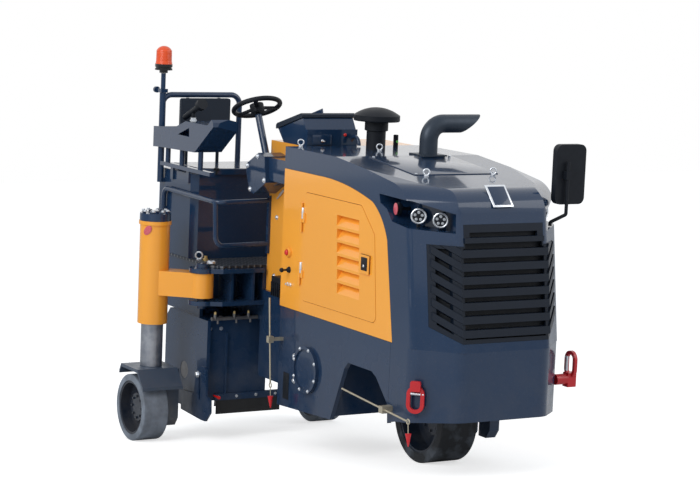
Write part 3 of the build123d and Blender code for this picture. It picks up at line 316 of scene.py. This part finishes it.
steel = mottled("worn_steel", (18.0, 5.0), ((0.10, 0.10, 0.105), (0.24, 0.24, 0.25)),
                wear=(40.0, 4.0, 0.3, 0.35), Metallic=0.8)
dress(steel, "drum", "spray_bar")

bright = mottled("bright_zinc", (60.0, 3.0), ((0.62, 0.66, 0.72), (0.80, 0.83, 0.87)),
                 wear=(90.0, 2.0, 0.15, 0.24), Metallic=0.85)

# ---------------------------------------------------------------- chequer plate
# Steel floor with raised bars in alternating directions, 34 mm apart, worn brighter
# on their tops.
tread, start, shader = finish("chequer_plate", Metallic=0.35)
cell = 0.034
diagonal = 0.7071
one = (spot(start, 0) + spot(start, 1)) * (diagonal / cell)
two = (spot(start, 0) - spot(start, 1)) * (diagonal / cell)
in_cell = [line.math("FRACT", line) for line in (one, two)]
off_centre = [part.math("ABSOLUTE", part - 0.5) for part in in_cell]
pair = (one.math("FLOOR", one) + two.math("FLOOR", two)) * 0.5
odd = pair.math("FRACT", pair) * 2.0
thin = [1 - part.above(0.13, 0.05) for part in off_centre]
long_way = [1 - part.above(0.40, 0.06) for part in off_centre]
bars = odd * thin[0] * long_way[1] + (1 - odd) * thin[1] * long_way[0]
feed(bars.shade((0.016, 0.023, 0.035), (0.15, 0.16, 0.18)), shader, "Base Color")
feed(noise(start, 15.0, 4.0) * 0.2 + 0.4, shader, "Roughness")
raised(start, shader, bars, 0.003, 1.0)
dress(tread, "platform")

# ---------------------------------------------------------------- bolts
# Zinc-plated hexagon bolts on plain washers hold covers, brackets and plates. One
# bolt is turned and then set out in rows or round a circle.
def clear():
    """Selects nothing, ready for a new piece."""
    if bpy.context.object and bpy.context.object.mode == "EDIT":
        bpy.ops.object.mode_set(mode="OBJECT")
    bpy.ops.object.select_all(action="DESELECT")


def turned(outline, steps=28):
    """Walks an outline of (radius, height) in mm and spins it round Z."""
    clear()
    walk = [Vector((radius, 0, rise)) / 1000 for radius, rise in outline]
    bpy.ops.mesh.primitive_plane_add(size=0.001)
    bpy.ops.object.mode_set(mode="EDIT")
    bpy.ops.mesh.merge(type="CENTER")
    bpy.ops.transform.translate(value=walk[0])
    for start_at, end_at in zip(walk, walk[1:]):
        bpy.ops.mesh.extrude_region_move(TRANSFORM_OT_translate={"value": end_at - start_at})
    bpy.ops.mesh.select_all(action="SELECT")
    bpy.ops.mesh.spin(steps=steps, angle=2 * math.pi, center=(0, 0, 0), axis=(0, 0, 1))
    bpy.ops.mesh.select_all(action="SELECT")
    bpy.ops.mesh.remove_doubles(threshold=0.00001)
    bpy.ops.mesh.normals_make_consistent(inside=False)
    bpy.ops.object.mode_set(mode="OBJECT")
    return bpy.context.object


def together(*parts):
    """Joins finished shapes into one."""
    clear()
    for part in parts:
        part.select_set(True)
    bpy.context.view_layer.objects.active = parts[0]
    if len(parts) > 1:
        bpy.ops.object.join()
    bpy.ops.object.transform_apply()
    bpy.ops.object.shade_smooth_by_angle(angle=math.radians(35))
    return bpy.context.object


def coat(part, material):
    """Gives a new shape its finish."""
    part.data.materials.clear()
    part.data.materials.append(material)
    return part


def set_out(model, name, ride_on, spots):
    """Copies a shape to its (place, facing) spots, as one piece that rides on a body.

    The shape comes from together(), because a copy loses its own place and scale here.
    """
    copies = []
    for place, facing in spots:
        copy = model.copy()
        copy.data = model.data.copy()
        bpy.context.collection.objects.link(copy)
        turn = Vector((0, 0, 1)).rotation_difference(Vector(facing))
        copy.matrix_world = (stance @ Matrix.Translation(Vector(place) / 1000)
                             @ turn.to_matrix().to_4x4())
        copies.append(copy)
    piece = together(*copies)
    piece.name = name
    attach(piece, ride_on)
    bpy.data.objects.remove(model)
    return piece


def bolt(radius):
    """Hexagon head on its washer, seated at z = 0."""
    washer = turned([(0, 0), (radius * 1.5, 0), (radius * 1.5, radius * 0.25),
                     (0, radius * 0.25)], 20)
    head = turned([(0, radius * 0.25), (radius, radius * 0.25), (radius, radius * 0.85),
                   (radius * 0.86, radius), (0, radius)], 6)
    return coat(together(washer, head), bright)


def bolt_circle(radius, first):
    """Eight even (cosine, sine) offsets on a circle, from a first angle in degrees."""
    return [(radius * math.cos(math.radians(turn)), radius * math.sin(math.radians(turn)))
            for turn in range(first, first + 360, 45)]


skirt_face = -505
set_out(bolt(13), "skirt_bolts", "machine",
        [((1219, skirt_face, 762), outward), ((1224, skirt_face, 600), outward)])
cover_x, cover_z = 1391, 703
cover_face = skirt_face - 24
set_out(bolt(8), "cover_bolts", "machine",
        [((cover_x + sine, cover_face, cover_z + cosine), outward)
         for cosine, sine in bolt_circle(145, 20)])
console_face = -502
set_out(bolt(12), "console_bolts", "machine",
        [((x, console_face, z), outward)
         for x, z in ((592, 2022), (452, 1945), (500, 1790), (697, 1870))])
set_out(bolt(11), "flange_bolts", "machine",
        [((371, y, 329), forward) for y in (-624, -486, -334, -181)])
set_out(bolt(15), "housing_bolts", "machine", [((351, y, 808), forward) for y in (-700, -615)])
set_out(bolt(17), "shoe_bolt", "shoe", [((300, -753, 483), outward)])
set_out(bolt(11), "wall_bolts", "machine",
        [((581, -330, 1600), outward), ((570, -330, 1195), outward)])


# ---------------------------------------------------------------- hood fittings
# Bare hatch plate on the falling part of the hood, eye bolts to lift it by, a black
# level post with a green window, and the chrome-framed blank plate on the nose.
def slab(length, width, thick, edge):
    """Plate with rounded edges, seated at z = 0."""
    clear()
    bpy.ops.mesh.primitive_cube_add(size=1, location=(0, 0, thick / 2000))
    bpy.ops.object.mode_set(mode="EDIT")
    bpy.ops.transform.resize(value=(length / 1000, width / 1000, thick / 1000))
    bpy.ops.mesh.bevel(offset=edge / 1000, segments=3, affect="EDGES")
    bpy.ops.object.mode_set(mode="OBJECT")
    return bpy.context.object


def eye(radius):
    """Lifting eye: a collar with a ring that stands on it."""
    collar = turned([(0, 0), (radius * 0.8, 0), (radius * 0.8, 4), (radius * 0.4, 9), (0, 9)], 20)
    clear()
    bpy.ops.mesh.primitive_torus_add(major_radius=radius / 1000, minor_radius=radius / 4200,
                                     major_segments=28, minor_segments=10,
                                     location=(0, 0, (radius + 8) / 1000),
                                     rotation=(math.radians(90), 0, math.radians(60)))
    ring = bpy.context.object
    return coat(together(collar, ring), bright)


def seated(node, place, facing):
    """Slides a place along its facing onto the surface of a CAD node."""
    run_up = 0.4  # metres off the given place, where the search starts
    back = -Vector(facing).normalized()
    found, hit, _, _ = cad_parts[node].ray_cast(
        stance @ (Vector(place) / 1000 - back * run_up), stance.to_3x3() @ back)
    if not found:
        return place, facing
    return stance.inverted() @ hit * 1000, facing


fallen = (0.0995, 0, 0.995)
set_out(coat(together(slab(560, 620, 5, 2)), slate), "hood_hatch", "machine",
        [seated("hood", (1960, middle_plane, 2097), fallen)])
set_out(bolt(9), "hatch_bolts", "machine",
        [seated("hood", (x, y, z), fallen) for x, z in ((1700, 2128), (2220, 2076))
         for y in (-255, 320)])
set_out(eye(19), "eye_bolts", "machine",
        [seated("hood", (x, y, 2100), upward)
         for x, y in ((1000, -400), (1345, 0), (1345, 420), (2275, -215), (2275, 281))])
post = coat(turned([(0, 0), (17, 0), (17, 82), (14, 86), (0, 86)], 20), black)
set_out(post, "level_post", "machine", [((1115, 264, 2127), upward)])
green = mottled("green_window", (60.0,), ((0.12, 0.62, 0.10), (0.30, 0.80, 0.16)),
                Roughness=0.15)
window = coat(turned([(0, 0), (9, 0), (9, 3), (0, 5)], 16), green)
set_out(window, "level_window", "machine", [((1132, 264, 2168), forward)])

badge_facing = (0.735, 0, 0.678)
badge_spot = seated("hood", (2693, middle_plane, 1967), badge_facing)
set_out(coat(together(slab(166, 148, 7, 3)), bright), "badge_frame", "machine",
        [badge_spot])
set_out(coat(together(slab(140, 122, 9, 4)), slate), "badge_field", "machine",
        [badge_spot])

# ---------------------------------------------------------------- work lamps
# Two lamps a side on the corners of the nose. Each is a dark disc with five bright
# emitters, in a chrome ring.
emitter = mottled("lamp_lens", (150.0, 2.0), ((0.16, 0.18, 0.21), (0.55, 0.58, 0.62)),
                  Roughness=0.08, Coat_Weight=0.6)
splay = math.radians(35)
lamp_spots = []
for side in (-1, 1):
    lamp_facing = (math.cos(splay), side * math.sin(splay), 0)
    # lamp: place ahead, distance from the middle plane, height
    for x, out, z in ((2550, 463, 1858), (2650, 368, 1843)):
        lamp_spots.append(((x, middle_plane + side * out, z), lamp_facing))
ring = turned([(37, 0), (48, 0), (48, 7), (43, 10), (37, 5), (37, 0)], 36)
set_out(coat(together(ring), bright), "lamp_rings", "machine", lamp_spots)
disc = turned([(0, 0), (37, 0), (37, 3), (20, 5), (0, 6)], 36)
set_out(coat(together(disc), black), "lamp_covers", "machine", lamp_spots)
fifth_turn = 1.2566
cell_circle = 0.023
cells = []
for count in range(5):
    cell = turned([(0, 2), (9, 2), (9, 6), (5, 8), (0, 8)], 16)
    cell.location = (cell_circle * math.cos(count * fifth_turn),
                     cell_circle * math.sin(count * fifth_turn), 0)
    cells.append(cell)
set_out(coat(together(*cells), emitter), "lamp_cells", "machine", lamp_spots)

# ---------------------------------------------------------------- reflectors
# Red oval reflectors: one beside the right lamps, one near the top of the wheel
# column, turned half ahead.
reflector_red = mottled("red_reflector", (240.0, 1.0), ((0.52, 0.02, 0.05), (0.72, 0.20, 0.24)),
                        Roughness=0.2)


def reflector(name, ride_on, place, facing):
    """Oval reflector, taller than it is wide."""
    dot = turned([(0, 0), (24, 0), (24, 4), (18, 6), (0, 6)], 28)
    dot.scale = (1, 1.55, 1)
    set_out(coat(together(dot), reflector_red), name, ride_on, [(place, facing)])


column_x, column_y = 118, -1025
reflector("reflectors", "machine", (2351, -470, 1879), outward)
reflector("column_reflector", "swing_column", (column_x + 62, column_y - 83, 1480),
          (0.6, -0.8, 0))

# ---------------------------------------------------------------- door hardware
# Zinc hinge sleeves at the rear edge, and a black paddle latch with a zinc lock, on
# both engine doors.
door_out = 540
latch_x = 2085
for side, name in ((-1, "right"), (1, "left")):
    face = (0, side, 0)
    face_y = middle_plane + side * door_out
    sleeve = turned([(0, -36), (9, -36), (10, -34), (10, 34), (9, 36), (0, 36)], 18)
    set_out(coat(together(sleeve), bright), "hinges_" + name, "machine",
            [((1264, face_y + side * 3, z), upward) for z in (1719, 1360)])
    paddle = together(slab(112, 116, 8, 3), slab(74, 84, 16, 5))
    set_out(coat(paddle, black), "latch_" + name, name + "_door",
            [((latch_x, face_y - 2, 1502), face)])
    lock = turned([(0, 14), (9, 14), (9, 18), (6, 20), (0, 20)], 16)
    set_out(coat(together(lock), bright), "lock_" + name, name + "_door",
            [((latch_x, face_y - 2, 1490), face)])

# ---------------------------------------------------------------- operator's controls
# Red stop button in its yellow guard, the black travel lever, two pressure ports, a
# gas strut, and the ribbed valve block behind the wheel column.
button_red = mottled("button_red", (30.0,), ((0.72, 0.014, 0.012), (0.60, 0.010, 0.010)),
                     Roughness=0.25)
stop_place = (1090, skirt_face, 1436)
guard = turned([(18, 0), (33, 0), (33, 10), (28, 20), (22, 20), (18, 10), (18, 0)], 32)
set_out(coat(together(guard), amber), "stop_guard", "machine", [(stop_place, outward)])
mushroom = turned([(0, 0), (9, 0), (9, 14), (19, 18), (19, 24), (14, 30), (0, 33)], 28)
set_out(coat(together(mushroom), button_red), "stop_button", "machine",
        [(stop_place, outward)])
lever = turned([(0, 0), (22, 0), (16, 14), (7, 18), (6, 44), (14, 50), (16, 60), (11, 69),
                (0, 72)], 24)
set_out(coat(together(lever), black), "travel_lever", "machine",
        [((1099, skirt_face, 1321), outward)])
fitting = turned([(0, 0), (13, 0), (13, 8), (9, 10), (9, 22), (0, 24)], 6)
set_out(coat(together(fitting), bright), "pressure_ports", "machine",
        [((x, skirt_face, 1226), outward) for x in (1093, 1130)])
strut = turned([(0, 0), (9, 0), (9, 70), (5, 72), (5, 118), (0, 118)], 16)
set_out(coat(together(strut), bright), "gas_strut", "machine",
        [((683, -340, 1801), (-0.794, 0, -0.608))])
ribs = [slab(8, 88, 98, 2) for _ in range(7)]
rib_pitch = 0.028
for count, rib in enumerate(ribs):
    rib.location = ((count - 3) * rib_pitch, 0, 0)
block = together(slab(190, 74, 84, 5), *ribs)
set_out(coat(block, black), "valve_block", "machine", [((795, -384, 1135), upward)])

# ---------------------------------------------------------------- column fittings
# Eight bolts hold the cap of the wheel column, and brass tips top the spray nozzles.
# The hinge pin has its zinc head; a lock ring and its brass base stand on the floor.
cap_top = 1604
set_out(bolt(11), "cap_bolts", "swing_column",
        [((column_x + cosine, column_y + sine, cap_top), upward)
         for cosine, sine in bolt_circle(84, 10)])
brass = mottled("brass", (40.0, 3.0), ((0.42, 0.30, 0.12), (0.58, 0.44, 0.20)),
                wear=(80.0, 2.0, 0.2, 0.28), Metallic=0.8)
nozzle = turned([(0, 0), (9, 0), (9, 12), (5, 20), (0, 20)], 6)
set_out(coat(together(nozzle), brass), "nozzle_tips", "machine",
        [((403, y, 914), upward) for y in (-685, -539, -430)])
pin_head = turned([(0, 0), (30, 0), (30, 14), (22, 20), (0, 20)], 24)
set_out(coat(together(pin_head), bright), "hinge_pin_head", "machine",
        [((369, -713, 1266), upward)])
set_out(eye(24), "lock_ring", "machine", [seated("platform", (133, -690, 1255), upward)])
socket = turned([(0, 0), (20, 0), (20, 12), (13, 16), (13, 34), (0, 36)], 24)
set_out(coat(together(socket), brass), "lock_base", "machine",
        [seated("platform", (178, -660, 1255), upward)])

# ---------------------------------------------------------------- drum housing fittings
# Red depth-stop lever on the right plate, and a black plate on the skirt, painted shade for the
# dark inside of its service slot.
stop_lever = turned([(0, 0), (7, 0), (7, 62), (11, 66), (11, 84), (0, 86)], 18)
set_out(coat(together(stop_lever), button_red), "depth_lever", "machine",
        [((392, -670, 346), forward)])
# painted shade: a thin black plate stands for the shadowed inside of the service slot
slot_shade_plate = together(slab(76, 178, 3, 1))
set_out(coat(slot_shade_plate, black), "skirt_slot_painted_shade", "machine", [((1116, skirt_face, 544), outward)])

# ---------------------------------------------------------------- electrical box
# Folded bracket on the lid, a red lamp and a latch plate with its hasp on the front
# wall, and the grey elbow that takes the cables into the hood.
tab = together(slab(150, 6, 52, 2))
set_out(coat(tab, slate), "lid_tab", "box_lid", [((743, -132, 2292), (-0.286, 0, 0.958))])
lamp = turned([(0, 0), (11, 0), (11, 5), (7, 9), (0, 10)], 20)
set_out(coat(together(lamp), button_red), "box_lamp", "machine", [((950, -36, 2198), forward)])
set_out(coat(together(slab(70, 145, 6, 2)), slate), "latch_plate", "machine",
        [((951, -215, 2165), forward)])
set_out(eye(11), "hasp", "machine", [((957, -215, 2160), forward)])
clear()
bpy.ops.mesh.primitive_torus_add(major_radius=0.055, minor_radius=0.013, major_segments=40,
                                 minor_segments=14, rotation=(math.radians(90), 0, 0))
elbow = bpy.context.object
bpy.ops.object.mode_set(mode="EDIT")
bpy.ops.mesh.bisect(plane_co=(0, 0, 0), plane_no=(0, 0, 1), clear_inner=True, use_fill=True)
bpy.ops.object.mode_set(mode="OBJECT")
set_out(coat(together(elbow), slate), "cable_elbow", "machine", [((990, 20, 2135), upward)])

# ---------------------------------------------------------------- mirror and controls
# Silvered glass on the mirror's rear face, the zinc nut under the joystick, the knob
# on the seat, and the pins of the tow rings.
glass = mottled("mirror_glass", (3.0,), ((0.62, 0.66, 0.70), (0.70, 0.74, 0.78)),
                wear=(9.0, 3.0, 0.02, 0.03), Metallic=1.0)
set_out(coat(together(slab(330, 150, 3, 1)), glass), "mirror_glass", "machine",
        [((2622, 596, 2109), backward)])
nut = turned([(0, 0), (24, 0), (24, 10), (18, 12), (18, 24), (0, 24)], 6)
set_out(coat(together(nut), bright), "joystick_nut", "machine", [((-25, -690, 2206), upward)])
knob = turned([(0, 0), (8, 0), (8, 24), (22, 28), (22, 38), (17, 44), (0, 45)], 24)
set_out(coat(together(knob), black), "seat_knob", "machine", [((100, -560, 1846), upward)])
pin_pair = turned([(0, -40), (9, -40), (9, 40), (12, 41), (12, 52), (0, 53)], 18)
set_out(coat(together(pin_pair), bright), "ring_pins", "machine",
        [((2708, -491, 800), (0.7, 0.7, 0)), ((2650, 660, 905), upward)])

# ---------------------------------------------------------------- floor and light
# Plain pale floor that blends into a white surround, with soft light from above and
# a large soft lamp ahead of the machine's right side.
bpy.ops.mesh.primitive_plane_add(size=160, location=(0, 0, 0))
floor = bpy.context.object
floor.name = "floor"
paper, start, shader = finish("floor_paper", Roughness=0.9, Specular_IOR_Level=0.1)
shader.inputs["Base Color"].default_value = (0.80, 0.80, 0.80, 1)
shader.inputs["Emission Strength"].default_value = 1.0
path = start.node("ShaderNodeLightPath")
seen = Link(path.tree, path.socket.node.outputs["Is Camera Ray"])
feed(seen.shade((0, 0, 0), (0.62, 0.62, 0.62)), shader, "Emission Color")
coat(floor, paper)

scene = bpy.context.scene
world = bpy.data.worlds.new("studio")
scene.world = world
world.use_nodes = True
sky = Link(world.node_tree)
path = sky.node("ShaderNodeLightPath").socket.node.outputs
shown = [Link(world.node_tree, path[key])
         for key in ("Is Camera Ray", "Is Glossy Ray", "Is Transmission Ray")]
either = shown[0].math("MAXIMUM", shown[0], shown[0].math("MAXIMUM", shown[1], shown[2]))
soft = sky.node("ShaderNodeBackground", None, {"Color": (0.92, 0.96, 1, 1), "Strength": 0.52})
white = sky.node("ShaderNodeBackground", None, {"Color": (1, 1, 1, 1), "Strength": 1.0})
mixed = sky.node("ShaderNodeMixShader", None, {0: either, 1: soft, 2: white})
world.node_tree.links.new(mixed.socket,
                          world.node_tree.nodes["World Output"].inputs["Surface"])

# lamp: watts, side length in metres, place
for watts, side, place in ((520, 6.0, (3.0, -8.5, 6.5)), (240, 6.0, (6.0, 7.5, 6.0))):
    bpy.ops.object.light_add(type="AREA", location=place)
    light = bpy.context.object
    light.data.energy = watts
    light.data.size = side
    aim = Vector((0, 0, 1.1)) - Vector(place)
    light.rotation_euler = aim.to_track_quat("-Z", "Y").to_euler()

scene.view_settings.view_transform = "Standard"

bpy.context.view_layer.update()
